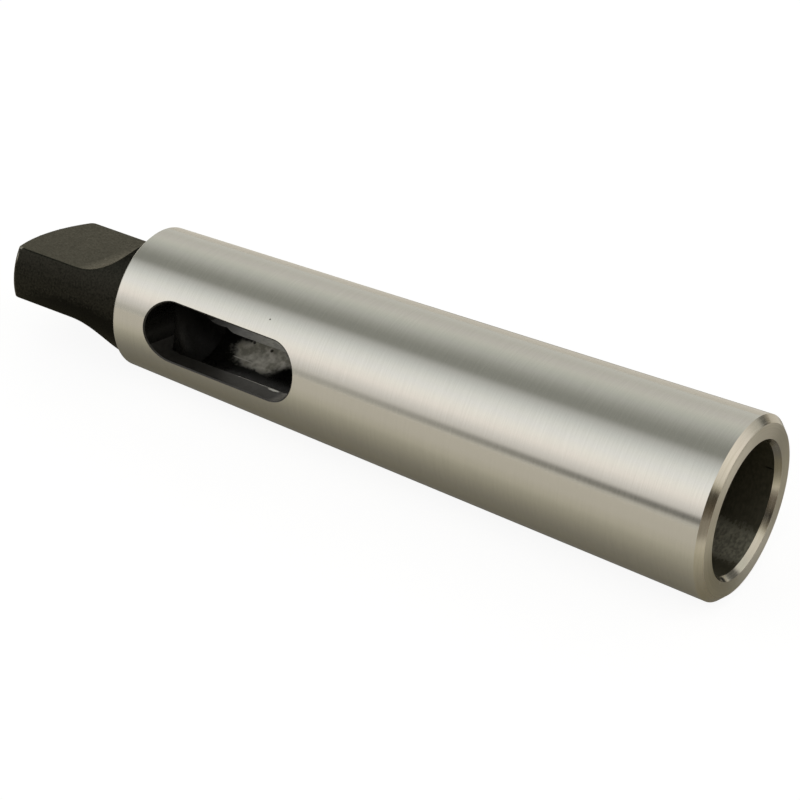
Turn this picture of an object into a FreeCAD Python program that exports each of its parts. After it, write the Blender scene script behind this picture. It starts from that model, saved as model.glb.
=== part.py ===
"""A reducing taper sleeve: a number 3 shank outside, a number 2 socket inside.

It is turned, bored and milled from one piece of steel. +Z runs along its axis from the open
mouth to the tang, and the origin is the centre of the ring that the sleeve stands on. The drift
slot goes through along Y, and the two cheeks of the tang face +X and -X.
"""

import FreeCAD, Part

import os

import Sketcher

NODE = "taper_sleeve"
PARTS_FOLDER = "parts"

# Driving dimensions, in millimetres and degrees: alias, value, meaning.
DIMENSIONS = (
    ("overall_length", 112.0, "mouth face to the top of the domed tang"),
    ("cone_length", 92.0, "mouth face to the shoulder behind the tang"),
    ("gauge_diameter", 23.825, "outer taper, diameter at the gauge plane"),
    ("gauge_height", 18.0, "gauge plane above the mouth face"),
    ("outer_taper", 0.0502, "outer taper, loss of diameter for each millimetre"),
    ("mouth_chamfer", 0.9, "chamfer round the outside of the mouth, each way"),
    ("shoulder_chamfer", 0.3, "edge break at the thin end of the cone, each way"),
    ("socket_diameter", 17.78, "socket, diameter in the plane of the mouth face"),
    ("socket_taper", 0.04995, "socket, loss of diameter for each millimetre"),
    ("countersink_diameter", 18.7, "countersink of the socket at the mouth face"),
    ("countersink_angle", 60.0, "full angle of that countersink"),
    ("relief_diameter", 14.9, "drilled hole behind the socket"),
    ("relief_depth", 84.0, "mouth face to the end of the full drilled diameter"),
    ("drill_point_angle", 118.0, "full angle of the drilled hole's end"),
    ("slot_start", 61.6, "mouth face to the near end of the drift slot"),
    ("slot_length", 24.8, "drift slot, end to end"),
    ("slot_width", 8.4, "drift slot, side to side"),
    ("slot_break", 0.2, "edge break round both openings of the drift slot"),
    ("tang_diameter", 18.3, "turned blank of the tang"),
    ("tang_thickness", 7.5, "cheek to cheek"),
    ("run_out_radius", 8.5, "radius that the cutter leaves where a cheek runs out"),
    ("run_out_gap", 0.35, "shoulder to the place where the cutter leaves the tang"),
    ("dome_radius", 28.0, "sphere that the tip of the tang is turned to"),
    ("tip_radius", 0.9, "rounding between the turned side of the tang and its domed tip"),
    ("tang_fillet", 0.3, "rounding of the edges of both cheeks"),
)

SMALLEST_CUT = 1.0  # cubic millimetres that every cut has to take away
NEAR = 0.01  # millimetres within which a point counts as lying on a surface
EDGE_SAMPLES = 5  # points that are looked at along an edge


def cone_radius(height):
    """Expression for the outer cone's radius at a height above the mouth face."""
    return f"((Sizes.gauge_diameter - ({height} - Sizes.gauge_height) * Sizes.outer_taper) / 2)"


def socket_radius(depth):
    """Expression for the socket's radius at a depth behind the mouth face."""
    return f"((Sizes.socket_diameter - ({depth}) * Sizes.socket_taper) / 2)"


TANG_RADIUS = "(Sizes.tang_diameter / 2)"
RELIEF_RADIUS = "(Sizes.relief_diameter / 2)"
SLOT_RADIUS = "(Sizes.slot_width / 2)"
CHEEK = "(Sizes.tang_thickness / 2)"
DOME_CENTRE = "(Sizes.overall_length - Sizes.dome_radius)"
TIP_ACROSS = f"({TANG_RADIUS} - Sizes.tip_radius)"
TIP_ALONG = f"sqrt((Sizes.dome_radius - Sizes.tip_radius) ^ 2 - {TIP_ACROSS} ^ 2)"
SIDE_END = f"({DOME_CENTRE} + {TIP_ALONG})"
COUNTERSINK_DEPTH = (
    "((Sizes.countersink_diameter - Sizes.socket_diameter) / 2"
    " / (tan(Sizes.countersink_angle / 2) - Sizes.socket_taper / 2))"
)
SOCKET_END = "((Sizes.socket_diameter - Sizes.relief_diameter) / Sizes.socket_taper)"
DRILL_TIP = f"(Sizes.relief_depth + {RELIEF_RADIUS} / tan(Sizes.drill_point_angle / 2))"
CUT_DEPTH = f"({TANG_RADIUS} - {CHEEK})"
RUN_OUT_LENGTH = f"sqrt(Sizes.run_out_radius ^ 2 - (Sizes.run_out_radius - {CUT_DEPTH}) ^ 2)"
FLAT_START = f"(Sizes.cone_length + Sizes.run_out_gap + {RUN_OUT_LENGTH})"


def make_sheet(doc):
    """Puts every driving dimension in a cell with an alias."""
    sheet = doc.addObject("Spreadsheet::Sheet", "Sizes")
    for row, (alias, value, meaning) in enumerate(DIMENSIONS, start=1):
        sheet.set(f"A{row}", alias)
        sheet.set(f"B{row}", str(value))
        sheet.set(f"C{row}", meaning)
        sheet.setAlias(f"B{row}", alias)
    doc.recompute()
    return sheet


def origin_feature(body, role):
    """Returns one of the body's own origin planes or axes."""
    return next(item for item in body.Origin.OriginFeatures if item.Role == role)


def make_sketch(body, name):
    """Adds a sketch in the plane of X and Z: its own x is X and its own y is Z."""
    sketch = body.newObject("Sketcher::SketchObject", name)
    sketch.AttachmentSupport = [(origin_feature(body, "XZ_Plane"), "")]
    sketch.MapMode = "FlatFace"
    return sketch


def drive(sketch, kind, references, expression, name):
    """Adds a dimension to a sketch and binds it to an expression on the sheet."""
    value = float(sketch.evalExpression(expression))
    index = sketch.addConstraint(Sketcher.Constraint(kind, *references, value))
    sketch.renameConstraint(index, name)
    sketch.setExpression(f"Constraints.{name}", expression)


def place_point(sketch, geometry, end, corner, name):
    """Ties one point of a sketch to its two coordinates."""
    drive(sketch, "DistanceX", (-1, 1, geometry, end), corner[0], f"{name}_x")
    drive(sketch, "DistanceY", (-1, 1, geometry, end), corner[1], f"{name}_y")


def vector(sketch, corner):
    """Works out a corner's present place in the sketch."""
    across, along = (float(sketch.evalExpression(expression)) for expression in corner)
    return FreeCAD.Vector(across, along, 0)


def draw_lines(sketch, corners):
    """Draws straight lines from corner to corner and ties each line's start to its corner."""
    points = [vector(sketch, corner) for corner in corners]
    lines = []
    for start, finish in zip(points, points[1:]):
        lines.append(sketch.addGeometry(Part.LineSegment(start, finish), False))
    for before, after in zip(lines, lines[1:]):
        sketch.addConstraint(Sketcher.Constraint("Coincident", before, 2, after, 1))
    for number, (line, corner) in enumerate(zip(lines, corners), start=1):
        place_point(sketch, line, 1, corner, f"corner_{number}")
    return lines


def arc_about(centre, start, finish):
    """Draws an arc about a centre, anticlockwise from one point to another."""
    circle = Part.Circle(centre, FreeCAD.Vector(0, 0, 1), centre.distanceToPoint(start))
    return Part.ArcOfCircle(circle, circle.parameter(start), circle.parameter(finish))


def add_blank(body):
    """Turns the outside: chamfered mouth, cone, shoulder, tang blank and its domed tip."""
    sketch = make_sketch(body, "outer_profile")
    shoulder = "Sizes.cone_length"
    corners = (
        ("0", "0"),
        (f"{cone_radius('0')} - Sizes.mouth_chamfer", "0"),
        (cone_radius("Sizes.mouth_chamfer"), "Sizes.mouth_chamfer"),
        (
            cone_radius(f"({shoulder} - Sizes.shoulder_chamfer)"),
            f"{shoulder} - Sizes.shoulder_chamfer",
        ),
        (f"{cone_radius(shoulder)} - Sizes.shoulder_chamfer", shoulder),
        (TANG_RADIUS, shoulder),
        (TANG_RADIUS, SIDE_END),
    )
    lines = draw_lines(sketch, corners)
    side_end = vector(sketch, corners[-1])
    tip = vector(sketch, ("0", "Sizes.overall_length"))
    dome_centre = vector(sketch, ("0", DOME_CENTRE))
    corner_centre = vector(sketch, (TIP_ACROSS, SIDE_END))
    outward = corner_centre.sub(dome_centre).normalize()
    dome_edge = dome_centre.add(outward.multiply(dome_centre.distanceToPoint(tip)))
    corner = sketch.addGeometry(arc_about(corner_centre, side_end, dome_edge), False)
    dome = sketch.addGeometry(arc_about(dome_centre, dome_edge, tip), False)
    axis = sketch.addGeometry(Part.LineSegment(tip, FreeCAD.Vector(0, 0, 0)), False)
    sketch.addConstraint(Sketcher.Constraint("Coincident", lines[-1], 2, corner, 1))
    sketch.addConstraint(Sketcher.Constraint("Tangent", corner, 2, dome, 1))
    sketch.addConstraint(Sketcher.Constraint("Coincident", dome, 2, axis, 1))
    sketch.addConstraint(Sketcher.Constraint("Coincident", axis, 2, lines[0], 1))
    place_point(sketch, corner, 1, corners[-1], "side_end")
    place_point(sketch, corner, 3, (TIP_ACROSS, SIDE_END), "corner_centre")
    place_point(sketch, dome, 3, ("0", DOME_CENTRE), "dome_centre")
    sketch.addConstraint(Sketcher.Constraint("PointOnObject", dome, 2, -2))

    blank = body.newObject("PartDesign::Revolution", "turned_blank")
    blank.Profile = sketch
    blank.ReferenceAxis = (sketch, ["V_Axis"])
    blank.Angle = 360
    return blank


def add_socket(body):
    """Bores the countersunk socket and the drilled hole behind it."""
    sketch = make_sketch(body, "socket_profile")
    corners = (
        ("0", "0"),
        ("Sizes.countersink_diameter / 2", "0"),
        (socket_radius(COUNTERSINK_DEPTH), COUNTERSINK_DEPTH),
        (RELIEF_RADIUS, SOCKET_END),
        (RELIEF_RADIUS, "Sizes.relief_depth"),
        ("0", DRILL_TIP),
        ("0", "0"),
    )
    lines = draw_lines(sketch, corners)
    sketch.addConstraint(Sketcher.Constraint("Coincident", lines[-1], 2, lines[0], 1))

    socket = body.newObject("PartDesign::Groove", "tapered_socket")
    socket.Profile = sketch
    socket.ReferenceAxis = (sketch, ["V_Axis"])
    socket.Angle = 360
    return socket


def add_slot(body):
    """Mills the round-ended drift slot through both walls."""
    sketch = make_sketch(body, "slot_outline")
    near = ("0", f"Sizes.slot_start + {SLOT_RADIUS}")
    far = ("0", f"Sizes.slot_start + Sizes.slot_length - {SLOT_RADIUS}")
    near_centre = vector(sketch, near)
    far_centre = vector(sketch, far)
    radius = float(sketch.evalExpression(SLOT_RADIUS))
    side = FreeCAD.Vector(radius, 0, 0)
    rise = FreeCAD.Vector(0, radius, 0)
    far_end = Part.Arc(far_centre + side, far_centre + rise, far_centre - side)
    near_end = Part.Arc(near_centre - side, near_centre - rise, near_centre + side)
    loop = [
        sketch.addGeometry(far_end, False),
        sketch.addGeometry(Part.LineSegment(far_centre - side, near_centre - side), False),
        sketch.addGeometry(near_end, False),
        sketch.addGeometry(Part.LineSegment(near_centre + side, far_centre + side), False),
    ]
    for before, after in zip(loop, loop[1:] + loop[:1]):
        sketch.addConstraint(Sketcher.Constraint("Tangent", before, 2, after, 1))
    sketch.addConstraint(Sketcher.Constraint("Equal", loop[0], loop[2]))
    place_point(sketch, loop[0], 3, far, "far_centre")
    place_point(sketch, loop[2], 3, near, "near_centre")
    drive(sketch, "Radius", (loop[0],), SLOT_RADIUS, "end_radius")
    return add_through_cut(body, sketch, "drift_slot")


def add_cheek(body):
    """Mills the +X cheek of the tang, with the arc where the cutter runs out."""
    sketch = make_sketch(body, "cheek_outline")
    beyond_tip = "Sizes.overall_length + Sizes.run_out_radius"
    outside = f"{CHEEK} + Sizes.run_out_radius + {TANG_RADIUS}"
    arc_end = (f"{CHEEK} + Sizes.run_out_radius", f"{FLAT_START} - Sizes.run_out_radius")
    corners = (
        arc_end,
        (outside, f"{FLAT_START} - Sizes.run_out_radius"),
        (outside, beyond_tip),
        (CHEEK, beyond_tip),
        (CHEEK, FLAT_START),
    )
    lines = draw_lines(sketch, corners)
    centre = (f"{CHEEK} + Sizes.run_out_radius", FLAT_START)
    points = [vector(sketch, corner) for corner in (centre, corners[-1], arc_end)]
    run_out = sketch.addGeometry(arc_about(*points), False)
    sketch.addConstraint(Sketcher.Constraint("Coincident", lines[-1], 2, run_out, 1))
    sketch.addConstraint(Sketcher.Constraint("Coincident", run_out, 2, lines[0], 1))
    place_point(sketch, run_out, 3, centre, "run_out_centre")
    drive(sketch, "DistanceY", (-1, 1, run_out, 1), FLAT_START, "flat_start")
    return add_through_cut(body, sketch, "cheek")


def add_through_cut(body, sketch, name):
    """Cuts a sketch's outline through the body, both ways along Y."""
    cut = body.newObject("PartDesign::Pocket", name)
    cut.Profile = sketch
    cut.SideType = "Symmetric"
    cut.Type = "ThroughAll"
    return cut


def add_mirrored_cheek(body, cheek):
    """Mills the same cheek on the -X side."""
    mirrored = body.newObject("PartDesign::Mirrored", "opposite_cheek")
    mirrored.Originals = [cheek]
    mirrored.MirrorPlane = (origin_feature(body, "YZ_Plane"), [""])
    body.Tip = mirrored
    return mirrored


def edges_where(feature, wanted):
    """Names the edges of a feature's shape whose sampled points all pass a test."""
    names = []
    for number, edge in enumerate(feature.Shape.Edges, start=1):
        span = edge.LastParameter - edge.FirstParameter
        steps = (step / (EDGE_SAMPLES - 1) for step in range(EDGE_SAMPLES))
        if wanted([edge.valueAt(edge.FirstParameter + span * step) for step in steps]):
            names.append(f"Edge{number}")
    return names


def radius_at(point):
    """Distance of a point from the sleeve's axis."""
    return (point.x**2 + point.y**2) ** 0.5


def add_tang_fillet(body, base, size_of):
    """Rounds the edges of both cheeks all the way round: side, tip, side and run-out."""
    tang_radius = size_of(TANG_RADIUS)
    shoulder = size_of("Sizes.cone_length")
    cheek = size_of(CHEEK)

    def rises(points):
        heights = [point.z for point in points]
        return min(heights) > shoulder + NEAR and max(heights) - min(heights) > NEAR

    def beside_cheek(points):
        on_side = all(abs(radius_at(point) - tang_radius) < NEAR for point in points)
        on_cheek = all(abs(abs(point.x) - cheek) < NEAR for point in points)
        return rises(points) and (on_side or on_cheek)

    fillet = body.newObject("PartDesign::Fillet", "tang_rounding")
    fillet.Base = (base, edges_where(base, beside_cheek))
    fillet.setExpression("Radius", "Sizes.tang_fillet")
    return fillet


def add_slot_break(body, base, size_of):
    """Breaks the outer edges round both openings of the drift slot."""
    start = size_of("Sizes.slot_start")
    end = start + size_of("Sizes.slot_length")
    half_width = size_of(SLOT_RADIUS)

    def in_slot(point):
        return start - NEAR < point.z < end + NEAR and abs(point.x) < half_width + NEAR

    def on_cone(point):
        return abs(radius_at(point) - size_of(cone_radius(point.z))) < NEAR

    def round_opening(points):
        return all(in_slot(point) and on_cone(point) for point in points)

    chamfer = body.newObject("PartDesign::Chamfer", "slot_edges")
    chamfer.Base = (base, edges_where(base, round_opening))
    chamfer.setExpression("Size", "Sizes.slot_break")
    return chamfer


def settle(doc, before, feature):
    """Recomputes the document and makes sure that a cut took something away."""
    doc.recompute()
    if before.Shape.Volume - feature.Shape.Volume < SMALLEST_CUT:
        raise RuntimeError(f"{feature.Name} cuts nothing")
    return feature


def make_sleeve(doc, sheet):
    """Builds the whole sleeve as one body."""
    body = doc.addObject("PartDesign::Body", NODE)
    body.Label = NODE

    def size_of(expression):
        return float(sheet.evalExpression(expression))

    blank = add_blank(body)
    doc.recompute()
    socket = settle(doc, blank, add_socket(body))
    slot = settle(doc, socket, add_slot(body))
    cheek = settle(doc, slot, add_cheek(body))
    both_cheeks = settle(doc, cheek, add_mirrored_cheek(body, cheek))
    rounded = add_tang_fillet(body, both_cheeks, size_of)
    doc.recompute()
    add_slot_break(body, rounded, size_of)
    doc.recompute()
    return body


def check(doc, body):
    """Stops before anything is written if an object failed or the solid is not sound."""
    failed = [item.Name for item in doc.Objects if {"Invalid", "Error"} & set(item.State)]
    if failed:
        raise RuntimeError("failed: " + ", ".join(failed))
    shape = body.Shape
    if shape.isNull() or not shape.isValid() or len(shape.Solids) != 1:
        raise RuntimeError(f"{body.Label} is not one valid solid")


def main():
    """Builds the sleeve, checks it and writes its file."""
    doc = FreeCAD.newDocument("reducing_sleeve")
    sheet = make_sheet(doc)
    body = make_sleeve(doc, sheet)
    check(doc, body)
    os.makedirs(PARTS_FOLDER, exist_ok=True)
    body.Shape.exportStep(os.path.join(PARTS_FOLDER, f"{body.Label}.step"))
    box = body.Shape.BoundBox
    print(f"{body.Label}: {box.XLength:.3f} x {box.YLength:.3f} x {box.ZLength:.3f} mm,")
    print(f"volume {body.Shape.Volume:.1f} cubic millimetres, {len(body.Shape.Faces)} faces")


main()
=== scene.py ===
"""Dresses a reducing taper sleeve: ground cone, turned mouth, blackened tang and drift slot.

The sleeve is one piece of hardened steel, so it is modelled here as one mesh, machined in the
order a shop would use: turned and bored, cheeks milled on the tang, edges rounded, slot cut
through. Every face then gets the finish of the operation that made it. Sizes of the object are
in millimetres and are scaled to metres when a piece is finished.
"""

import logging
import math
from collections.abc import Callable, Iterable
from dataclasses import dataclass, field
from enum import Enum

import bmesh
import bpy
from mathutils import Matrix, Vector


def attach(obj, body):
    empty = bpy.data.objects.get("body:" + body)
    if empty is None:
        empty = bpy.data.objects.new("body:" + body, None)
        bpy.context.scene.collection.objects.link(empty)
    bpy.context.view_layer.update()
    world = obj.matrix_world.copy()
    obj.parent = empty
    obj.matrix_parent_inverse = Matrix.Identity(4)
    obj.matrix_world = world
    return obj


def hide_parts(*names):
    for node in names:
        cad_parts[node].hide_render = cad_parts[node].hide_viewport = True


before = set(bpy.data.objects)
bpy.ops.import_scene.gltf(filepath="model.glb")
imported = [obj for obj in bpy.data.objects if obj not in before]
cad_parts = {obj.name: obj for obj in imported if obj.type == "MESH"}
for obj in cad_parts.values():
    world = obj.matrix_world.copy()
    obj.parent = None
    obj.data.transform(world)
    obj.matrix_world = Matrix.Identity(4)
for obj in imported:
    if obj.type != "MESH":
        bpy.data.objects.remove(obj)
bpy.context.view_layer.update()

LOG = logging.getLogger("taper_sleeve")

MM = 0.001
DEGREE = math.radians(1)
NODE = "taper_sleeve"
BODY = "root"
CLOSE = 0.002  # millimetres within which two vertices are the same point
SMOOTH_ANGLE = 25 * DEGREE  # a crease between two faces that is sharper than this stays sharp
NOISE_RANGE = (0.3, 0.7)  # noise hardly goes beyond it
QUARTER_TURN = 0.25  # turns the stretch of a highlight from along the tool marks to across them


class Finish(Enum):
    """Finishes of the sleeve's surfaces, in the order of its material slots."""

    GROUND = 0
    BROKEN_EDGE = 1
    FACED = 2
    TURNED = 3
    REAMED = 4
    DRILLED = 5
    MILLED = 6
    OXIDE = 7


def linear(code: str) -> tuple[float, float, float, float]:
    """Turns an sRGB hex colour into a linear one.

    Args:
        code: Six hex digits.

    Returns:
        Linear red, green and blue, and an alpha of 1.
    """
    channels = [int(code[place:place + 2], 16) / 255 for place in (0, 2, 4)]
    red, green, blue = (
        value / 12.92 if value <= 0.04045 else ((value + 0.055) / 1.055) ** 2.4
        for value in channels
    )
    return red, green, blue, 1.0


def add_node(
    tree: bpy.types.NodeTree,
    kind: str,
    sockets: dict[str | int, object] | None = None,
    **settings: object,
) -> bpy.types.Node:
    """Adds a node with its settings, values and links.

    Args:
        tree: Node tree that gets the node.
        kind: Blender's name of the node type.
        sockets: Input name or number to a value, or to the output socket that feeds it.
        **settings: Attributes of the node.

    Returns:
        The new node.
    """
    node = tree.nodes.new(kind)
    for name, value in settings.items():
        setattr(node, name, value)
    for name, value in (sockets or {}).items():
        if isinstance(value, bpy.types.NodeSocket):
            tree.links.new(value, node.inputs[name])
        else:
            node.inputs[name].default_value = value
    return node


def ease(
    tree: bpy.types.NodeTree, value: bpy.types.NodeSocket, start: float, end: float
) -> bpy.types.NodeSocket:
    """Rises smoothly from 0 to 1 while a value goes from start to end.

    Args:
        tree: Node tree that gets the node.
        value: Value that is looked at.
        start: Value at which the result is 0.
        end: Value at which it is 1, above or below start.

    Returns:
        The result.
    """
    sockets = {"Value": value, "From Min": start, "From Max": end}
    node = add_node(tree, "ShaderNodeMapRange", sockets, interpolation_type="SMOOTHSTEP")
    return node.outputs["Result"]


def patch(
    tree: bpy.types.NodeTree,
    unit: float,
    limits: Iterable[tuple[bpy.types.NodeSocket, tuple[float, float]]],
) -> bpy.types.NodeSocket:
    """Masks the place where several values all lie within soft limits.

    Args:
        tree: Node tree that gets the nodes.
        unit: What one unit of the limits measures, such as a degree or a millimetre.
        limits: Each value, with where it enters the patch and where it is fully in it.

    Returns:
        A mask from 0 to 1.
    """
    whole: float | bpy.types.NodeSocket = 1.0
    for value, (start, end) in limits:
        mask = ease(tree, value, start * unit, end * unit)
        whole = add_node(tree, "ShaderNodeMath", {0: whole, 1: mask}, operation="MULTIPLY").outputs[0]
    return whole


def tone_down(
    tree: bpy.types.NodeTree,
    colour: bpy.types.NodeSocket,
    mask: bpy.types.NodeSocket,
    tint: tuple[float, float, float, float],
) -> bpy.types.NodeSocket:
    """Multiplies a colour by a tint under a mask.

    Args:
        tree: Node tree that gets the node.
        colour: Colour to tone down.
        mask: 1 where the tint is in full.
        tint: Linear colour.

    Returns:
        The toned colour.
    """
    mixed = add_node(
        tree, "ShaderNodeMix", {0: mask, 6: colour, 7: tint}, data_type="RGBA",
        blend_type="MULTIPLY",
    )
    return mixed.outputs[2]


def mirror_or_glass(
    tree: bpy.types.NodeTree, path: bpy.types.NodeOutputs
) -> bpy.types.NodeSocket:
    """Tells whether a ray comes from a mirroring or a clear surface.

    Args:
        tree: Node tree that gets the node.
        path: Outputs of the tree's Light Path node.

    Returns:
        1 for such a ray.
    """
    rays = {0: path["Is Glossy Ray"], 1: path["Is Transmission Ray"]}
    return add_node(tree, "ShaderNodeMath", rays, operation="ADD").outputs[0]


def ramp(
    tree: bpy.types.NodeTree, value: bpy.types.NodeSocket, stops: Iterable[tuple[float, str]]
) -> bpy.types.NodeSocket:
    """Colours a value from 0 to 1.

    Args:
        tree: Node tree that gets the node.
        value: Value from 0 to 1.
        stops: Place and hex colour of each stop, in rising order.

    Returns:
        The colour.
    """
    node = add_node(tree, "ShaderNodeValToRGB", {"Fac": value})
    points = node.color_ramp.elements
    for index, (place, code) in enumerate(stops):
        point = points[index] if index < 2 else points.new(place)
        point.position = place
        point.color = linear(code)
    return node.outputs["Color"]


def blank_material(name: str) -> bpy.types.Material:
    """Makes a material whose node tree is empty.

    Args:
        name: Name of the material.

    Returns:
        The material.
    """
    material = bpy.data.materials.new(name)
    material.use_nodes = True
    material.node_tree.nodes.clear()
    return material


def evenly(start: float, end: float, steps: int) -> list[float]:
    """Values from start to end at even steps, both included."""
    return [start + (end - start) * step / steps for step in range(steps + 1)]


def deselect_all() -> None:
    """Leaves edit mode and deselects every object."""
    if bpy.context.object and bpy.context.object.mode != "OBJECT":
        bpy.ops.object.mode_set(mode="OBJECT")
    bpy.ops.object.select_all(action="DESELECT")


def pick_only(piece: bpy.types.Object) -> None:
    """Makes one object the only selected one, and the active one.

    Args:
        piece: Object to pick.
    """
    deselect_all()
    piece.select_set(True)
    bpy.context.view_layer.objects.active = piece


def select_where(
    piece: bpy.types.Object,
    mode: str,
    test: Callable[[bmesh.types.BMVert | bmesh.types.BMEdge | bmesh.types.BMFace], bool],
) -> int:
    """Selects the vertices, edges or faces of the object in edit mode that pass a test.

    Args:
        piece: Object that is in edit mode.
        mode: VERT, EDGE or FACE.
        test: Tells whether an element is selected.

    Returns:
        How many elements were selected.
    """
    bpy.ops.mesh.select_mode(type=mode)
    bpy.ops.mesh.select_all(action="DESELECT")
    mesh = bmesh.from_edit_mesh(piece.data)
    elements = {"VERT": mesh.verts, "EDGE": mesh.edges, "FACE": mesh.faces}[mode]
    chosen = [element for element in elements if test(element)]
    for element in chosen:
        element.select_set(True)
    mesh.select_flush_mode()
    bmesh.update_edit_mesh(piece.data)
    return len(chosen)


def extrude_ring(lift: float, scale: float = 1.0) -> None:
    """Extrudes the selected ring along the axis and scales the new ring about the axis.

    Args:
        lift: How far up the new ring lies.
        scale: Its radius as a share of the old one.
    """
    bpy.ops.mesh.extrude_edges_move(TRANSFORM_OT_translate={"value": (0, 0, lift)})
    if scale != 1.0:
        bpy.ops.transform.resize(value=(scale, scale, 1), center_override=(0, 0, 0))


def turn(name: str, stations: list[tuple[float, float]], segments: int) -> bpy.types.Object:
    """Turns a shell about the axis, ring by ring.

    Args:
        name: Name of the new object.
        stations: Radius and height of each ring; a radius of zero closes the shell.
        segments: Vertices round the axis.

    Returns:
        The new object, in edit mode.
    """
    deselect_all()
    radius, height = stations[0]
    bpy.ops.mesh.primitive_circle_add(vertices=segments, radius=radius)
    piece = bpy.context.object
    piece.name = piece.data.name = name
    bpy.ops.object.mode_set(mode="EDIT")
    bpy.ops.transform.translate(value=(0, 0, height))
    for next_radius, next_height in stations[1:]:
        next_radius = max(next_radius, CLOSE / 10)
        extrude_ring(next_height - height, next_radius / radius)
        radius, height = next_radius, next_height
    if stations[-1][0] == 0:
        bpy.ops.mesh.merge(type="CENTER")
    return piece


def cut_away(piece: bpy.types.Object, cutter: bpy.types.Object) -> None:
    """Cuts one closed mesh out of another and deletes the cutter.

    Args:
        piece: Object that is cut.
        cutter: Closed mesh of what is taken away.
    """
    pick_only(piece)
    bpy.ops.object.modifier_add(type="BOOLEAN")
    modifier = piece.modifiers[-1]
    modifier.operation = "DIFFERENCE"
    modifier.solver = "EXACT"
    modifier.object = cutter
    bpy.ops.object.modifier_apply(modifier=modifier.name)
    mesh = cutter.data
    bpy.data.objects.remove(cutter)
    bpy.data.meshes.remove(mesh)


@dataclass
class TaperWall:
    """The turned and bored wall: cone, mouth, socket, relief bore and shoulder."""

    length: float = 92.0
    gauge_diameter: float = 23.825
    gauge_height: float = 18.0
    taper: float = 0.0502
    mouth_chamfer: float = 0.9
    shoulder_chamfer: float = 0.3
    socket_diameter: float = 17.78
    socket_taper: float = 0.04995
    countersink_diameter: float = 18.7
    countersink_angle: float = 60.0
    bore_diameter: float = 14.9
    bore_depth: float = 84.0
    drill_angle: float = 118.0
    segments: int = 384
    spans: int = 12
    bore_spans: int = 4

    def radius(self, height: float) -> float:
        """Radius of the ground cone at a height above the mouth face."""
        return (self.gauge_diameter - (height - self.gauge_height) * self.taper) / 2

    def socket_radius(self, depth: float) -> float:
        """Radius of the socket at a depth behind the mouth face."""
        return (self.socket_diameter - depth * self.socket_taper) / 2

    @property
    def socket_end(self) -> float:
        """Depth at which the socket meets the drilled bore."""
        return (self.socket_diameter - self.bore_diameter) / self.socket_taper

    @property
    def countersink_depth(self) -> float:
        """Depth at which the countersink meets the socket."""
        slope = math.tan(math.radians(self.countersink_angle / 2)) - self.socket_taper / 2
        return (self.countersink_diameter - self.socket_diameter) / 2 / slope

    @property
    def drill_tip(self) -> float:
        """Depth of the point that the drill leaves at the bottom of the bore."""
        return self.bore_depth + self.bore_diameter / 2 / math.tan(math.radians(self.drill_angle / 2))

    def stations(self, tang_radius: float) -> list[tuple[float, float]]:
        """Profile of the wall from the tang's foot, over the outside, to the bottom of the bore.

        Args:
            tang_radius: Radius of the tang at the shoulder.

        Returns:
            Radius and height of each ring.
        """
        top = self.length - self.shoulder_chamfer
        low = self.mouth_chamfer
        outside = evenly(top, low, self.spans)
        inside = evenly(self.countersink_depth, self.socket_end, self.spans)
        deep = evenly(self.socket_end, self.bore_depth, self.bore_spans)[1:]
        bore = self.bore_diameter / 2
        return (
            [(tang_radius, self.length)]
            + [(self.radius(top) - self.shoulder_chamfer, self.length)]
            + [(self.radius(height), height) for height in outside]
            + [(self.radius(low) - self.mouth_chamfer, 0.0)]
            + [(self.countersink_diameter / 2, 0.0)]
            + [(self.socket_radius(height), height) for height in inside]
            + [(bore, height) for height in deep]
            + [(bore / 2, (self.bore_depth + self.drill_tip) / 2)]
            + [(0.0, self.drill_tip)]
        )

    def build(self, tang_radius: float) -> bpy.types.Object:
        """Turns and bores the wall.

        Args:
            tang_radius: Radius of the tang at the shoulder.

        Returns:
            The wall, open at the tang's foot.
        """
        wall = turn("sleeve_body", self.stations(tang_radius), self.segments)
        bpy.ops.object.mode_set(mode="OBJECT")
        return wall


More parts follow.
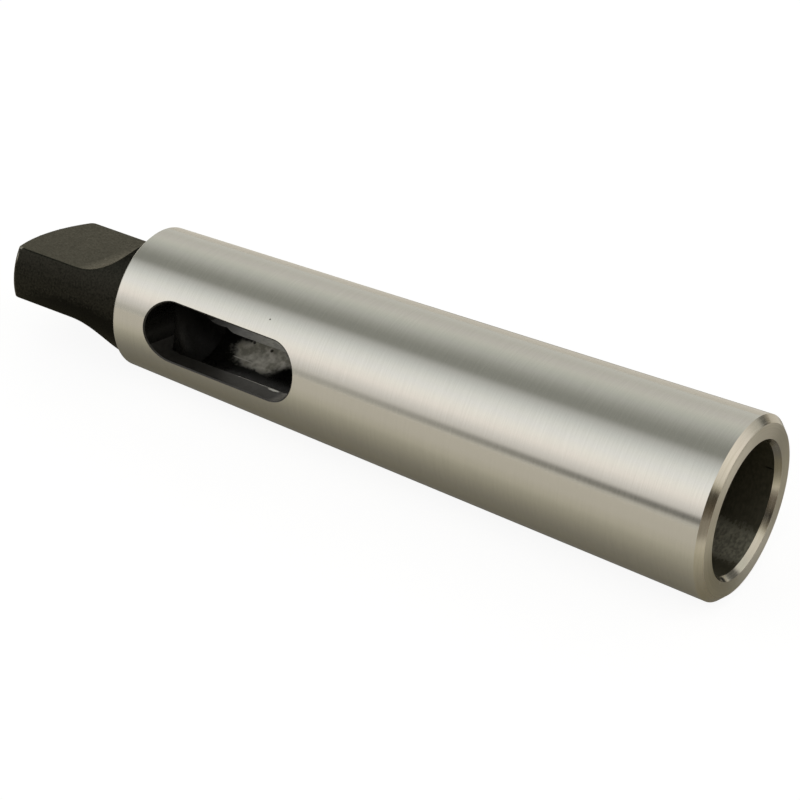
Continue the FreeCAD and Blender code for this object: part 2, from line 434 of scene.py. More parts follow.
@dataclass
class Tang:
    """The flat tang: a domed round blank with two milled cheeks and rounded edges."""

    foot: float = 92.0
    top: float = 112.0
    diameter: float = 18.3
    thickness: float = 7.5
    dome_radius: float = 28.0
    tip_radius: float = 0.9
    run_out_radius: float = 8.5
    run_out_gap: float = 0.35
    fillet: float = 0.3
    segments: int = 96
    tip_rings: int = 5
    dome_rings: int = 6

    @property
    def radius(self) -> float:
        """Radius of the round blank."""
        return self.diameter / 2

    @property
    def flat_start(self) -> float:
        """Height at which a cheek's flat begins, where the cutter's centre stopped.

        Returns:
            Height above the mouth face.
        """
        depth = self.radius - self.thickness / 2
        rise = math.sqrt(self.run_out_radius ** 2 - (self.run_out_radius - depth) ** 2)
        return self.foot + self.run_out_gap + rise

    def stations(self) -> list[tuple[float, float]]:
        """Profile of the blank from its foot to the top of the dome.

        Returns:
            Radius and height of each ring.
        """
        centre = self.top - self.dome_radius
        across = self.radius - self.tip_radius
        edge = math.asin(across / (self.dome_radius - self.tip_radius))
        corner = centre + (self.dome_radius - self.tip_radius) * math.cos(edge)
        turns = [(math.pi / 2 - edge) * ring / self.tip_rings for ring in range(self.tip_rings + 1)]
        tip = [
            (across + self.tip_radius * math.cos(turned), corner + self.tip_radius * math.sin(turned))
            for turned in turns
        ]
        angles = [edge * (1 - ring / self.dome_rings) for ring in range(1, self.dome_rings)]
        dome = [
            (self.dome_radius * math.sin(angle), centre + self.dome_radius * math.cos(angle))
            for angle in angles
        ]
        return [(self.radius, self.foot)] + tip + dome + [(0.0, self.top)]

    def build(self) -> bpy.types.Object:
        """Turns the round blank.

        Returns:
            The blank, open at its foot.
        """
        blank = turn("tang_blank", self.stations(), self.segments)
        bpy.ops.object.mode_set(mode="OBJECT")
        return blank

    def cutter(self, side: int) -> bpy.types.Object:
        """Models the space that the milling cutter sweeps beside one cheek.

        Args:
            side: 1 for the cheek that faces +X, -1 for the one that faces -X.

        Returns:
            A closed mesh with a half round lower end.
        """
        deselect_all()
        middle = self.thickness / 2 + self.run_out_radius
        bpy.ops.mesh.primitive_cylinder_add(
            vertices=self.segments,
            radius=self.run_out_radius,
            depth=self.diameter * 1.5,
            location=(side * middle, 0, self.flat_start),
            rotation=(math.pi / 2, 0, 0),
        )
        cutter = bpy.context.object
        bpy.ops.object.transform_apply(location=True, rotation=True, scale=True)
        bpy.ops.object.mode_set(mode="EDIT")
        select_where(cutter, "FACE", lambda face: face.normal.z > 0.01)
        bpy.ops.mesh.extrude_region_move(TRANSFORM_OT_translate={"value": (0, 0, self.diameter)})
        bpy.ops.object.mode_set(mode="OBJECT")
        return cutter

    def round_edges(self, piece: bpy.types.Object) -> None:
        """Rounds the edges that the cheeks leave on the tang.

        Args:
            piece: The sleeve with its cheeks milled.
        """
        pick_only(piece)
        bpy.ops.object.mode_set(mode="EDIT")
        lowest = self.foot + self.run_out_gap / 2
        sharp = 30 * DEGREE

        def is_milled_edge(edge: bmesh.types.BMEdge) -> bool:
            """Tells whether an edge is a sharp one of the tang."""
            above = all(vertex.co.z > lowest for vertex in edge.verts)
            return above and edge.calc_face_angle(0.0) > sharp

        count = select_where(piece, "EDGE", is_milled_edge)
        # The run-out meets the round blank at this angle, so it tells how wide a fillet is.
        level = self.run_out_radius - self.radius + self.thickness / 2
        meeting = math.acos(level / self.run_out_radius)
        offset = self.fillet * math.tan(meeting / 2)
        bpy.ops.mesh.bevel(
            offset_type="OFFSET", offset=offset, segments=3, profile=0.5, affect="EDGES",
            clamp_overlap=False, loop_slide=True,
        )
        LOG.info("tang: %d edges rounded by %.2f mm", count, self.fillet)
        bpy.ops.object.mode_set(mode="OBJECT")


@dataclass
class DriftSlot:
    """The round-ended slot that goes through both walls, with its rims broken."""

    start: float = 61.6
    length: float = 24.8
    width: float = 8.4
    edge_break: float = 0.2
    segments: int = 96
    reach: float = 16.0

    @property
    def ends(self) -> tuple[float, float]:
        """Heights of the centres of the two round ends."""
        return self.start + self.width / 2, self.start + self.length - self.width / 2

    def rim_point(
        self, wall: TaperWall, place: Vector, side: int, flared: bool
    ) -> tuple[float, float, float]:
        """Finds where the slot's rim runs nearest to a point of the outline.

        Args:
            wall: Cone that the rim follows.
            place: A point on or beside the outline.
            side: 1 for the rim that faces +Y, -1 for the one that faces -Y.
            flared: Whether it is a point of the wider outline, which lies just above the cone, or
                of the slot's own, just below.

        Returns:
            The point of the rim.
        """
        low, high = self.ends
        offset, lift = (2 * self.edge_break, self.edge_break) if flared else (0.0, -self.edge_break)
        centre = min(max(place.z, low), high)
        away = Vector((place.x, place.z - centre)).normalized() * (self.width / 2 + offset)
        x, z = away.x, centre + away.y
        return x, side * (math.sqrt(wall.radius(z) ** 2 - x ** 2) + lift), z

    @staticmethod
    def add_ring(cutter: bpy.types.Object, move: Callable[[Vector], tuple[float, float, float]]) -> None:
        """Extrudes the selected end of the cutter and moves the new end's vertices.

        Args:
            cutter: Object in edit mode.
            move: Gives a vertex its new place.
        """
        bpy.ops.mesh.extrude_region_move(TRANSFORM_OT_translate={"value": (0, 0.01, 0)})
        mesh = bmesh.from_edit_mesh(cutter.data)
        for vertex in [one for one in mesh.verts if one.select]:
            vertex.co = move(vertex.co)
        bmesh.update_edit_mesh(cutter.data)

    def cutter(self, wall: TaperWall) -> bpy.types.Object:
        """Models the slot as a closed mesh that flares where it leaves the cone.

        Args:
            wall: Cone that the rims follow.

        Returns:
            The cutter, along Y.
        """
        deselect_all()
        low, high = self.ends
        bpy.ops.mesh.primitive_circle_add(
            vertices=self.segments, radius=self.width / 2, fill_type="NGON",
            rotation=(math.pi / 2, 0, 0),
        )
        cutter = bpy.context.object
        bpy.ops.object.transform_apply(location=False, rotation=True, scale=True)
        bpy.ops.object.mode_set(mode="EDIT")
        bpy.ops.transform.rotate(
            value=math.pi / self.segments, orient_axis="Y", center_override=(0, 0, 0)
        )
        bpy.ops.transform.translate(value=(0, -self.reach, low))
        select_where(cutter, "VERT", lambda vertex: vertex.co.z > low)
        bpy.ops.transform.translate(value=(0, 0, high - low))
        bpy.ops.mesh.select_all(action="SELECT")
        for side, flared in ((-1, True), (-1, False), (1, False), (1, True)):
            self.add_ring(cutter, lambda place: self.rim_point(wall, place, side, flared))
        self.add_ring(cutter, lambda place: (place.x, self.reach, place.z))
        bpy.ops.mesh.select_all(action="SELECT")
        bpy.ops.mesh.normals_make_consistent(inside=False)
        bpy.ops.object.mode_set(mode="OBJECT")
        return cutter


@dataclass(frozen=True)
class Spot:
    """A worn or dirty place on a surface, or a place where light or shade is painted: an ellipsoid that
    recolours what it covers.

    Attributes:
        centre: Middle of the ellipsoid, in millimetres.
        half: Half its size each way.
        colour: Its hex colour.
        ragged: How far noise frays its border, as a share of its size.
        dim: Colour of its darker mottles, where it has them.
    """

    centre: tuple[float, float, float]
    half: tuple[float, float, float]
    colour: str
    ragged: float = 0.0
    dim: str = ""

    def cover(
        self,
        tree: bpy.types.NodeTree,
        place: bpy.types.NodeSocket,
        marks: bpy.types.NodeSocket,
        colour: bpy.types.NodeSocket,
    ) -> bpy.types.NodeSocket:
        """Mixes the spot over a colour.

        Args:
            tree: Node tree of the material.
            place: Object coordinates.
            marks: Noise that frays the spot's border.
            colour: Colour under the spot.

        Returns:
            The colour with the spot on it.
        """
        scale = [1 / (size * MM) for size in self.half]
        shift = [-middle / size for middle, size in zip(self.centre, self.half)]
        inside = add_node(
            tree, "ShaderNodeMapping", {"Vector": place, "Location": shift, "Scale": scale}
        ).outputs[0]
        reach = add_node(tree, "ShaderNodeVectorMath", {0: inside}, operation="LENGTH").outputs["Value"]
        frayed = add_node(
            tree, "ShaderNodeMath", {0: marks, 1: self.ragged, 2: reach}, operation="MULTIPLY_ADD"
        ).outputs[0]
        mask = ease(tree, frayed, 1.0 + self.ragged / 2, 0.6 + self.ragged / 2)
        mottled = ramp(tree, marks, ((0.38, self.dim or self.colour), (0.62, self.colour)))
        mixed = add_node(tree, "ShaderNodeMix", {0: mask, 6: colour, 7: mottled}, data_type="RGBA")
        return mixed.outputs[2]


@dataclass(frozen=True)
class MetalFinish:
    """A machined steel surface: its colours, its gloss and the lay of its tool marks.

    Attributes:
        name: Name of the material.
        pale: Hex colour of the high places between the tool marks.
        dark: Hex colour of the low ones.
        roughness: Roughness of the low and of the high places.
        lay: Tool marks in a millimetre round, out from and along the axis. Marks that are finer
            than the picture's dots are drawn as coarse as they have to be to show.
        anisotropy: How far the marks stretch a highlight across themselves.
        detail: Finer layers of the noise that draws the marks.
        relief: Depth of the marks in millimetres, where they stand out.
        metallic: 1 for bare steel, less under a film, 0 for scale.
        specular: Strength of the gloss where the surface is not metal.
        tint: Hex colour of that gloss.
        spots: Worn and dirty places, and places where light or shade is painted.
    """

    name: str
    pale: str
    dark: str
    roughness: tuple[float, float]
    lay: tuple[float, float, float]
    anisotropy: float = 0.0
    detail: float = 2.0
    relief: float = 0.0
    metallic: float = 1.0
    specular: float = 0.5
    tint: str = "FFFFFF"
    spots: tuple[Spot, ...] = ()

    def build(self) -> bpy.types.Material:
        """Builds the material from tool-mark noise on object coordinates.

        Returns:
            The material.
        """
        material = blank_material(self.name)
        tree = material.node_tree
        place = add_node(tree, "ShaderNodeTexCoord").outputs["Object"]
        marks = self.tool_marks(tree, place)
        low, high = NOISE_RANGE
        colour = ramp(tree, marks, ((low, self.dark), (high, self.pale)))
        for spot in self.spots:
            colour = spot.cover(tree, place, marks, colour)
        rough = add_node(
            tree,
            "ShaderNodeMapRange",
            {"Value": marks, "From Min": low, "From Max": high,
             "To Min": self.roughness[0], "To Max": self.roughness[1]},
        ).outputs["Result"]
        sockets = {
            "Base Color": colour, "Roughness": rough,
            "Metallic": self.metallic, "Specular IOR Level": self.specular,
            "Specular Tint": linear(self.tint),
        }
        if self.anisotropy:
            tangent = add_node(tree, "ShaderNodeTangent", direction_type="RADIAL", axis="Z")
            sockets["Tangent"] = tangent.outputs["Tangent"]
            sockets["Anisotropic"] = self.anisotropy
            sockets["Anisotropic Rotation"] = QUARTER_TURN
        if self.relief:
            bump = add_node(
                tree, "ShaderNodeBump", {"Height": marks, "Strength": 1.0, "Distance": self.relief * MM}
            )
            sockets["Normal"] = bump.outputs["Normal"]
        shader = add_node(tree, "ShaderNodeBsdfPrincipled", sockets)
        add_node(tree, "ShaderNodeOutputMaterial", {"Surface": shader.outputs["BSDF"]})
        return material

    def tool_marks(
        self, tree: bpy.types.NodeTree, place: bpy.types.NodeSocket
    ) -> bpy.types.NodeSocket:
        """Noise stretched along the lay of the tool marks.

        Args:
            tree: Node tree of the material.
            place: Object coordinates.

        Returns:
            Noise from 0 to 1.
        """
        around, outwards, along = (count / MM for count in self.lay)
        flat = add_node(
            tree, "ShaderNodeVectorMath", {0: place, 1: (1, 1, 0)}, operation="MULTIPLY"
        ).outputs[0]
        reach = add_node(tree, "ShaderNodeVectorMath", {0: flat}, operation="LENGTH").outputs["Value"]
        rings = add_node(tree, "ShaderNodeMath", {0: reach, 1: outwards}, operation="MULTIPLY")
        shift = add_node(tree, "ShaderNodeCombineXYZ", {"X": rings.outputs[0]}).outputs[0]
        marks_at = add_node(
            tree,
            "ShaderNodeVectorMath",
            {0: place, 1: (around, around, along), 2: shift},
            operation="MULTIPLY_ADD",
        ).outputs[0]
        noise = add_node(
            tree, "ShaderNodeTexNoise", {"Vector": marks_at, "Scale": 1.0, "Detail": self.detail}
        )
        return noise.outputs["Fac"]


@dataclass
class Sleeve:
    """The whole sleeve: wall, tang and slot machined into one mesh, and its finishes."""

    wall: TaperWall = field(default_factory=TaperWall)
    tang: Tang = field(default_factory=Tang)
    slot: DriftSlot = field(default_factory=DriftSlot)

    def build(self) -> bpy.types.Object:
        """Machines the sleeve and places it on its body.

        Returns:
            The finished piece, in metres.
        """
        body = self.wall.build(self.tang.radius)
        tang = self.tang.build()
        pick_only(body)
        tang.select_set(True)
        bpy.ops.object.join()
        bpy.ops.object.mode_set(mode="EDIT")
        select_where(body, "EDGE", lambda edge: edge.is_boundary)
        bpy.ops.mesh.bridge_edge_loops()
        bpy.ops.mesh.select_all(action="SELECT")
        bpy.ops.mesh.normals_make_consistent(inside=False)
        bpy.ops.object.mode_set(mode="OBJECT")
        for side in (1, -1):
            cut_away(body, self.tang.cutter(side))
        self.tidy(body)
        self.tang.round_edges(body)
        cut_away(body, self.slot.cutter(self.wall))
        self.tidy(body)
        self.dress(body)
        self.place(body)
        return body

    @staticmethod
    def tidy(piece: bpy.types.Object) -> None:
        """Merges doubled vertices and drops faces without area.

        Args:
            piece: Object to clean.
        """
        pick_only(piece)
        bpy.ops.object.mode_set(mode="EDIT")
        bpy.ops.mesh.select_all(action="SELECT")
        bpy.ops.mesh.remove_doubles(threshold=CLOSE)
        bpy.ops.mesh.dissolve_degenerate(threshold=CLOSE / 2)
        bpy.ops.object.mode_set(mode="OBJECT")

    def finish_of(self, centre: Vector, normal: Vector) -> Finish:
        """Tells which operation made a face.

        Args:
            centre: Middle of the face, in millimetres.
            normal: Its outward normal.

        Returns:
            The finish of that face.
        """
        wall, slot = self.wall, self.slot
        radial = math.hypot(centre.x, centre.y)
        # 1 where the face looks straight away from the axis, -1 where it looks straight at it.
        outward = (normal.x * centre.x + normal.y * centre.y) / max(radial, CLOSE)
        looks_in = outward < -0.98
        # The margins take in the slot's broken rims and the flats of the facets.
        beside_slot = slot.start - 0.5 < centre.z < slot.start + slot.length + 0.5
        in_wall = radial > wall.bore_diameter / 2 - 0.01 and abs(normal.y) < 0.9
        if centre.z > wall.length - wall.shoulder_chamfer:
            return Finish.BROKEN_EDGE if centre.z < wall.length - CLOSE else Finish.OXIDE
        if radial > wall.radius(centre.z) - 0.05 and outward > 0.99:
            return Finish.GROUND
        if centre.z < CLOSE:
            return Finish.FACED
        if centre.z < wall.mouth_chamfer and outward > -0.95:
            return Finish.TURNED
        if looks_in and centre.z < wall.socket_end:
            return Finish.REAMED
        if beside_slot and in_wall and not looks_in:
            return Finish.MILLED
        return Finish.DRILLED

    def dress(self, piece: bpy.types.Object) -> None:
        """Gives each face the finish of the operation that made it, and smooths the shading.

        Args:
            piece: The machined sleeve, in millimetres.
        """
        for finish in Finish:
            piece.data.materials.append(FINISHES[finish].build())
        for face in piece.data.polygons:
            face.material_index = self.finish_of(face.center, face.normal).value
        pick_only(piece)
        bpy.ops.object.shade_smooth_by_angle(angle=SMOOTH_ANGLE)
        bpy.ops.object.modifier_add(type="WEIGHTED_NORMAL")
        modifier = piece.modifiers[-1]
        modifier.keep_sharp = True
        bpy.ops.object.modifier_apply(modifier=modifier.name)

    @staticmethod
    def place(piece: bpy.types.Object) -> None:
        """Turns millimetres to metres in the mesh and hands the piece to the frame.

        Args:
            piece: The dressed sleeve.
        """
        pick_only(piece)
        bpy.ops.transform.resize(value=(MM, MM, MM), center_override=(0, 0, 0))
        bpy.ops.object.transform_apply(location=True, rotation=True, scale=True)
        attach(piece, BODY)
        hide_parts(NODE)


FINISHES = {
    # Finely ground steel: bright and silky, its hair lines round the cone draw highlights along it.
    Finish.GROUND: MetalFinish(
        "ground_steel", "CBC9C1", "C6C4BC", (0.14, 0.175), (0.25, 0, 6), anisotropy=0.75,
        spots=(Spot((6.38, -8.56, 67.4), (0.14, 0.14, 0.14), "55534D"),),
    ),
    # Broken edge: bare steel that catches a thin line of light round the shoulder.
    Finish.BROKEN_EDGE: MetalFinish(
        "broken_edge_steel", "E4E2DA", "D6D4CB", (0.3, 0.4), (0.4, 0, 0.4)
    ),
    # Faced ring: the fine rings of the facing tool spread the light to an even, silky beige.
    Finish.FACED: MetalFinish(
        "faced_steel", "E0DCD0", "D5D1C4", (0.4, 0.46), (0.09, 5, 0), anisotropy=0.9,
        spots=(Spot((-8.3, -4.3, 0.0), (0.5, 0.4, 0.3), "E6E2D6", 0.8),),
    ),
    # Turned chamfers: pale beige steel, softer than the ground cone.
    Finish.TURNED: MetalFinish(
        "turned_steel", "D0CBBE", "C5C0B2", (0.15, 0.22), (0.2, 4, 4), anisotropy=0.5,
        spots=(
            Spot((-8.7, -2.7, 0.3), (0.5, 0.6, 0.6), "2B2924", 0.6),
            Spot((-8.5, -3.5, 0.4), (0.35, 0.3, 0.4), "EAE6DC", 0.6),
        ),
    ),
    # Reamed socket: grey steel under a dull film that scatters the light from the mouth; a pale patch of
    # that light is painted on one side.
    Finish.REAMED: MetalFinish(
        "reamed_steel", "625F50", "4F4D40", (0.3, 0.36), (1.5, 0, 3), metallic=0.55,
        spots=(
            # Painted light: a pale mottled patch where the light from the mouth falls on the socket wall.
            Spot((-7.4, 4.9, 5.0), (3.4, 3.6, 14.0), "B3B1A0", 1.0, "8A887A"),
            Spot((2.7, 8.37, 1.5), (0.16, 0.16, 0.8), "1A1915", 0.2),
        ),
    ),
    # Drilled bore: black scale, rubbed to a mottled grey patch opposite the drift slot; the patch is also
    # painted pale for the light that falls on it through the near slot, beside a painted black shadow.
    Finish.DRILLED: MetalFinish(
        "drilled_black_steel", "1A1A17", "0E0E0C", (0.2, 0.36), (0.9, 0, 0.9), detail=6.0,
        metallic=0.0, specular=0.06,
        spots=(
            # Rubbed scale, and painted light: pale where the light through the near slot falls on the
            # bore wall.
            Spot((-5.5, 4.9, 76.3), (2.6, 3.3, 6.1), "E6E4D8", 0.9, "A09E91"),
            # Painted shadow: the black patch that the near slot's mouth-side end casts on the bore wall.
            Spot((-6.9, 3.0, 70.0), (3.0, 3.9, 5.1), "0A0A08", 0.3),
            Spot((-6.37, 3.85, 79.2), (0.3, 0.12, 2.0), "D8D6CC", 0.4),
            Spot((-4.36, 6.04, 78.9), (0.3, 0.3, 0.3), "4A4842", 0.4),
            Spot((-4.6, 5.86, 75.8), (0.3, 0.3, 0.3), "4A4842", 0.4),
        ),
    ),
    # Milled slot walls: black scale, worn where the drift wedge has rubbed the inner edge; that edge's
    # bright line and glint are painted, and so is a grey patch of light on the far wall.
    Finish.MILLED: MetalFinish(
        "milled_black_steel", "302F2B", "211F1D", (0.32, 0.46), (1.5, 0, 1.5), detail=4.0,
        metallic=0.0, specular=0.35,
        spots=(
            # Partly wear, partly a painted highlight: a bright line along the rubbed inner edge.
            Spot((-4.2, -6.15, 69.6), (0.3, 0.14, 4.6), "D5D2C6", 0.4),
            # Painted highlight: the glint where that edge's line widens.
            Spot((-4.2, -6.4, 66.9), (0.3, 0.45, 1.1), "F0EEE4", 0.5),
            # Painted light: a mottled grey patch where the light through the near slot falls on the far
            # wall, as on the bore beside it.
            Spot((-4.2, 8.0, 72.0), (0.5, 4.0, 10.0), "87857A", 0.8, "514F48"),
        ),
    ),
    # Black oxide: a dark skin with a fine speckle that turns grey only at a grazing angle; part of one
    # round side is darkened as painted shade.
    Finish.OXIDE: MetalFinish(
        "black_oxide_steel", "302F29", "1A1A16", (0.24, 0.5), (3.6, 0, 3.6), detail=4.0,
        relief=0.006, tint="F8F5EA",
        spots=(
            # Painted shade: the round -Y side of the tang darkened toward -X.
            Spot((-4.5, -8.0, 99.0), (5.0, 4.0, 14.0), "11110F", 0.6),
            Spot((3.85, -8.35, 110.1), (0.4, 0.4, 0.6), "8F8D83", 1.0),
            Spot((2.5, -8.85, 110.1), (1.0, 0.5, 0.1), "9C9A90", 0.4),
            Spot((3.9, -8.3, 101.0), (0.2, 0.2, 0.2), "77756C", 0.4),
        ),
    ),
}


@dataclass
class LightTent:
    """A tent of soft light all round: lamps, pale walls and the dark gaps between them."""

    radius: float = 4000.0
    # The colours below are half as bright as the light that they stand for.
    strength: float = 2.0
    # Heights in degrees between which the upper light gives way to the lower.
    change: tuple[float, float] = (-24, -36)
    # Light that comes in level or from the tang's side, by azimuth in degrees.
    upper: tuple[tuple[float, str], ...] = (
        (-180, "A09F9A"), (-115, "A19E99"), (-99, "9D9B95"), (-94, "AAA7A3"), (-86, "B8B5B3"),
        (-75, "CEC9C6"), (-65, "D0CECB"), (-55, "CACACB"), (-45, "C2C3C2"), (-35, "B1B3B3"),
        (-25, "9B9C9B"), (-16, "747571"), (-5, "757672"), (5, "838480"), (15, "949592"),
        (25, "9FA19C"), (35, "A8A8A3"), (45, "A5A3A0"), (55, "A09F9A"), (75, "A4A4A0"),
        (180, "A5A5A1"),
    )
    # Light that comes in from the mouth's side: a large lamp beside the dark room of the viewer.
    lower: tuple[tuple[float, str], ...] = (
        (-180, "787467"), (-118, "6A6558"), (-105, "514A43"), (-90, "443D33"), (-75, "2E2A22"),
        (-58, "3A352B"), (-50, "5A554A"), (-42, "8A867B"), (-34, "ADAAA1"), (-20, "B7B3AE"),
        (10, "C1BDB7"), (30, "C0BBB7"), (45, "B8B5B2"), (57, "9D9B96"), (68, "5F5C54"),
        (80, "746F65"), (90, "89887E"), (180, "787467"),
    )
    # The room's dark far corner, just below level: soft limits in azimuth and height, and the
    # share of the light that is left there.
    corner_sides: tuple[tuple[float, float], ...] = ((38, 50), (92, 82))
    corner_heights: tuple[tuple[float, float], ...] = ((-27, -20), (-2, -8))
    corner_light: float = 0.18
    # The thin seam between the table's far edge and the first lamp leans with its height.
    seam_sides: tuple[tuple[float, float], ...] = ((-93.2, -87.8), (-79.8, -85.2))
    seam_top: tuple[float, float] = (36, 21)
    seam_lean: float = 0.43
    seam_light: float = 0.15

    def build(self) -> bpy.types.Object:
        """Puts up the tent round the sleeve; the eye looks through it at a white backdrop.

        Returns:
            The tent.
        """
        deselect_all()
        bpy.ops.mesh.primitive_uv_sphere_add(segments=48, ring_count=24, radius=self.radius * MM)
        tent = bpy.context.object
        tent.name = tent.data.name = "light_tent"
        tent.data.materials.append(self.material())
        self.set_backdrop()
        return tent

    def material(self) -> bpy.types.Material:
        """Glow of the tent by direction, clear to the eye.

        Returns:
            The material.
        """
        material = blank_material("soft_light_tent")
        # It is all round, so every ray finds it, and aiming rays at it would only take time.
        material.cycles.emission_sampling = "NONE"
        tree = material.node_tree
        place = add_node(tree, "ShaderNodeTexCoord").outputs["Object"]
        towards = add_node(tree, "ShaderNodeVectorMath", {0: place}, operation="NORMALIZE").outputs[0]
        parts = add_node(tree, "ShaderNodeSeparateXYZ", {"Vector": towards}).outputs
        azimuth = add_node(
            tree, "ShaderNodeMath", {0: parts["Y"], 1: parts["X"]}, operation="ARCTAN2"
        ).outputs[0]
        height = add_node(tree, "ShaderNodeMath", {0: parts["Z"]}, operation="ARCSINE").outputs[0]
        share = add_node(
            tree, "ShaderNodeMapRange", {"Value": azimuth, "From Min": -math.pi, "From Max": math.pi}
        ).outputs["Result"]
        upper, lower = (
            ramp(tree, share, [((angle + 180) / 360, code) for angle, code in stops])
            for stops in (self.upper, self.lower)
        )
        low = patch(tree, DEGREE, [(height, self.change)])
        glow = add_node(tree, "ShaderNodeMix", {0: low, 6: upper, 7: lower}, data_type="RGBA").outputs[2]
        slanted = add_node(
            tree, "ShaderNodeMath", {0: height, 1: self.seam_lean, 2: azimuth},
            operation="MULTIPLY_ADD",
        ).outputs[0]
        corner = [(azimuth, side) for side in self.corner_sides]
        corner += [(height, side) for side in self.corner_heights]
        seam = [(slanted, side) for side in self.seam_sides] + [(height, self.seam_top)]
        for limits, left in ((corner, self.corner_light), (seam, self.seam_light)):
            glow = tone_down(tree, glow, patch(tree, DEGREE, limits), (left, left, left, 1))
        lamp = add_node(tree, "ShaderNodeEmission", {"Color": glow, "Strength": self.strength})
        clear = add_node(tree, "ShaderNodeBsdfTransparent")
        eye = add_node(tree, "ShaderNodeLightPath").outputs["Is Camera Ray"]
        seen = add_node(
            tree, "ShaderNodeMixShader", {"Fac": eye, 1: lamp.outputs[0], 2: clear.outputs[0]}
        )
        add_node(tree, "ShaderNodeOutputMaterial", {"Surface": seen.outputs[0]})
        return material

    @staticmethod
    def set_backdrop() -> None:
        """Makes the world a white backdrop for the eye, for metal and for glass."""
        world = bpy.data.worlds.new("white_backdrop")
        bpy.context.scene.world = world
        world.use_nodes = True
        tree = world.node_tree
        tree.nodes.clear()
        path = add_node(tree, "ShaderNodeLightPath").outputs
        rays = {0: path["Is Camera Ray"], 1: mirror_or_glass(tree, path)}
        shown = add_node(tree, "ShaderNodeMath", rays, operation="ADD", use_clamp=True).outputs[0]
        soft = add_node(tree, "ShaderNodeBackground", {"Color": linear("DAD8D2"), "Strength": 1.0})
        white = add_node(tree, "ShaderNodeBackground", {"Color": (1, 1, 1, 1), "Strength": 1.0})
        mixed = add_node(
            tree, "ShaderNodeMixShader", {"Fac": shown, 1: soft.outputs[0], 2: white.outputs[0]}
        )
        add_node(tree, "ShaderNodeOutputWorld", {"Surface": mixed.outputs[0]})


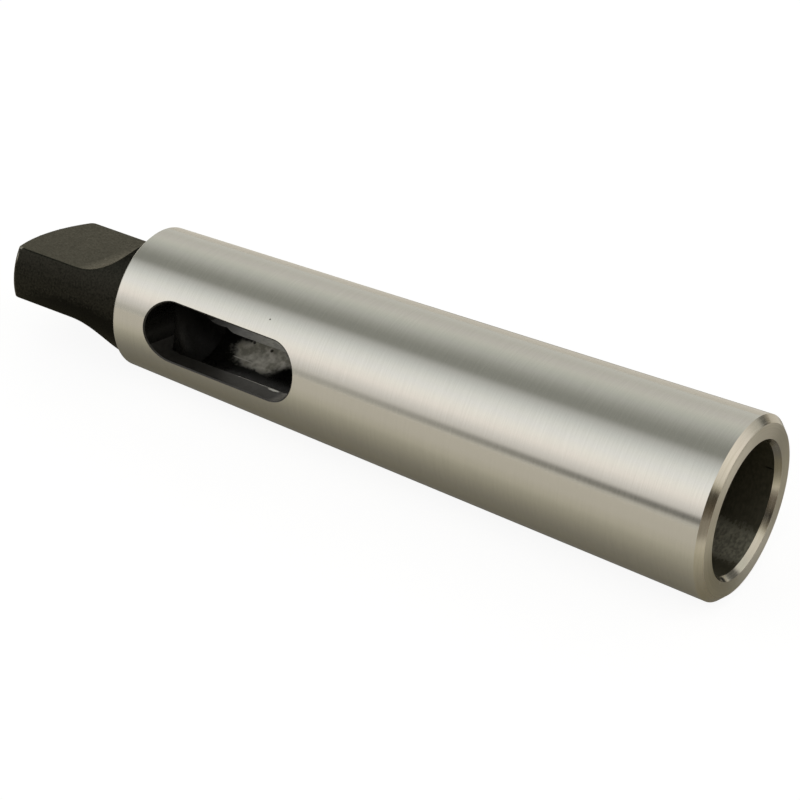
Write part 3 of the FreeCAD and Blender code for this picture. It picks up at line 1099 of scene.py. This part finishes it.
@dataclass
class PaleFloor:
    """The pale table top that the sleeve lies on, along one side of its cone."""

    # Direction from the axis to the line of contact, and slope of the cone's side, in degrees.
    azimuth: float = 164.3
    tilt: float = 1.44
    size: float = 6000.0
    # Distance of the floor from the axis, as a share of the cone's radius.
    clearance: float = 1.0005
    # To the eye it glows white, and a part of it answers to the light, so that a shadow shows.
    glow: float = 0.9
    answer: float = 0.16
    # Metal sees a part of the white, so that the shade under the sleeve stays in it.
    white_in_metal: float = 0.12
    # Colour by distance from the line of contact, as a share of the reach: warm shade to pale.
    reach: float = 60.0
    shades: tuple[tuple[float, str], ...] = (
        (0.0, "7A6F42"), (0.14, "7D734B"), (0.22, "97907A"), (0.35, "C4BEA9"), (0.55, "E9E2D0"),
        (0.9, "F3ECE0"),
    )
    # How far past the mouth the viewer's shade begins and is full.
    front: tuple[float, float] = (28.0, 60.0)
    front_tint: str = "A19C92"
    # The shadow that the brightest light casts to the far side: soft limits across the floor,
    # how far its ends fade out beside the sleeve's, and how far they lean.
    shadow_across: tuple[tuple[float, float], ...] = ((-4, 8), (60, 34))
    shadow_fade: float = 9.0
    shadow_lean: float = 0.4
    shadow_tint: str = "8C877E"

    def build(self, wall: TaperWall) -> bpy.types.Object:
        """Lays the floor.

        Args:
            wall: Cone that touches the floor.

        Returns:
            The floor, whose local X runs across the line of contact.
        """
        azimuth, tilt = self.azimuth * DEGREE, self.tilt * DEGREE
        up = -Vector((
            math.cos(azimuth) * math.cos(tilt), math.sin(azimuth) * math.cos(tilt), math.sin(tilt)
        ))
        along = (Vector((0, 0, 1)) - up * up.z).normalized()
        across = along.cross(up)
        foot = Vector((math.cos(azimuth), math.sin(azimuth), 0)) * wall.radius(0) * self.clearance
        middle = foot + along * wall.length / 2
        deselect_all()
        bpy.ops.mesh.primitive_plane_add(size=self.size * MM)
        floor = bpy.context.object
        floor.name = floor.data.name = "pale_floor"
        axes = Matrix((across, along, up)).transposed().to_4x4()
        floor.matrix_world = Matrix.Translation(middle * MM) @ axes
        floor.data.materials.append(self.material(wall.length / 2))
        return floor

    def material(self, half_length: float) -> bpy.types.Material:
        """Pale matt table top, shaded by the sleeve, that lets the eye through from behind.

        Args:
            half_length: Half the length of the line of contact.

        Returns:
            The material.
        """
        material = blank_material("pale_matt_table")
        tree = material.node_tree
        place = add_node(tree, "ShaderNodeTexCoord").outputs["Object"]
        parts = add_node(tree, "ShaderNodeSeparateXYZ", {"Vector": place}).outputs
        length = add_node(tree, "ShaderNodeMath", {0: parts["Y"]}, operation="ABSOLUTE").outputs[0]
        beyond = add_node(
            tree, "ShaderNodeMath", {0: length, 1: half_length * MM}, operation="SUBTRACT", use_clamp=True
        ).outputs[0]
        away = add_node(tree, "ShaderNodeCombineXYZ", {"X": parts["X"], "Y": beyond}).outputs[0]
        distance = add_node(tree, "ShaderNodeVectorMath", {0: away}, operation="LENGTH").outputs["Value"]
        share = add_node(
            tree, "ShaderNodeMapRange", {"Value": distance, "From Max": self.reach * MM}
        ).outputs["Result"]
        start, full = (-half_length - past for past in self.front)
        in_front = patch(tree, MM, [(parts["Y"], (start, full))])
        shadow = self.cast_shadow(tree, parts, half_length)
        colour = ramp(tree, share, self.shades)
        colour = tone_down(tree, colour, in_front, linear(self.front_tint))
        colour = tone_down(tree, colour, shadow, linear(self.shadow_tint))
        matt = add_node(tree, "ShaderNodeBsdfDiffuse", {"Color": colour})
        glow = add_node(tree, "ShaderNodeEmission", {"Color": (1, 1, 1, 1), "Strength": self.glow})
        grey = (self.answer, self.answer, self.answer, 1)
        dim = add_node(tree, "ShaderNodeBsdfDiffuse", {"Color": grey})
        white = add_node(tree, "ShaderNodeAddShader", {0: glow.outputs[0], 1: dim.outputs[0]})
        path = add_node(tree, "ShaderNodeLightPath").outputs
        rays = {0: mirror_or_glass(tree, path), 1: self.white_in_metal, 2: path["Is Camera Ray"]}
        shown = add_node(
            tree, "ShaderNodeMath", rays, operation="MULTIPLY_ADD", use_clamp=True
        ).outputs[0]
        seen = add_node(
            tree, "ShaderNodeMixShader", {"Fac": shown, 1: matt.outputs[0], 2: white.outputs[0]}
        )
        behind = add_node(tree, "ShaderNodeNewGeometry").outputs["Backfacing"]
        clear = add_node(tree, "ShaderNodeBsdfTransparent")
        whole = add_node(
            tree, "ShaderNodeMixShader", {"Fac": behind, 1: seen.outputs[0], 2: clear.outputs[0]}
        )
        add_node(tree, "ShaderNodeOutputMaterial", {"Surface": whole.outputs[0]})
        return material

    def cast_shadow(
        self, tree: bpy.types.NodeTree, parts: bpy.types.NodeOutputs, half_length: float
    ) -> bpy.types.NodeSocket:
        """Mask of the soft shadow that the brightest part of the light casts to the far side.

        Args:
            tree: Node tree of the material.
            parts: Object coordinates of the floor, taken apart.
            half_length: Half the length of the line of contact.

        Returns:
            1 in the shadow.
        """
        slanted = add_node(
            tree, "ShaderNodeMath", {0: parts["X"], 1: self.shadow_lean, 2: parts["Y"]},
            operation="MULTIPLY_ADD",
        ).outputs[0]
        outer, inner = half_length + self.shadow_fade, half_length - self.shadow_fade
        limits = [(parts["X"], side) for side in self.shadow_across]
        limits += [(slanted, (-outer, -half_length - 1)), (slanted, (outer, inner))]
        return patch(tree, MM, limits)


@dataclass
class ViewCamera:
    """The camera, where the reference view was taken from."""

    eye: tuple[float, float, float] = (129.581, -281.052, -108.544)
    # Direction of its look and how far it is turned about that, in degrees.
    azimuth: float = 115.1114
    elevation: float = 27.2150
    roll: float = -69.8579
    lens: float = 118.361
    sensor: float = 36.0
    clip: float = 10.0

    def build(self) -> bpy.types.Object:
        """Stands the camera and makes it the scene's.

        Returns:
            The camera.
        """
        deselect_all()
        bpy.ops.object.camera_add()
        camera = bpy.context.object
        camera.name = camera.data.name = "view_camera"
        azimuth, elevation = self.azimuth * DEGREE, self.elevation * DEGREE
        ahead = Vector((
            math.cos(azimuth) * math.cos(elevation),
            math.sin(azimuth) * math.cos(elevation),
            math.sin(elevation),
        ))
        level = ahead.cross(Vector((0, 0, 1))).normalized()
        upright = level.cross(ahead)
        turned = self.roll * DEGREE
        right = level * math.cos(turned) + upright * math.sin(turned)
        up = right.cross(ahead)
        axes = Matrix((right, up, -ahead)).transposed().to_4x4()
        camera.matrix_world = Matrix.Translation(Vector(self.eye) * MM) @ axes
        camera.data.lens = self.lens
        camera.data.sensor_width = self.sensor
        camera.data.clip_start = self.clip * MM
        bpy.context.scene.camera = camera
        return camera


def main() -> None:
    """Builds the sleeve, then the studio round it."""
    logging.basicConfig(level=logging.INFO, format="%(name)s: %(message)s")
    sleeve = Sleeve()
    piece = sleeve.build()
    LOG.info("%s: %d faces", piece.name, len(piece.data.polygons))
    for prop in (PaleFloor().build(sleeve.wall), LightTent().build(), ViewCamera().build()):
        LOG.info("studio: %s", prop.name)
    bpy.context.scene.view_settings.view_transform = "Standard"


if __name__ == "__main__":
    main()
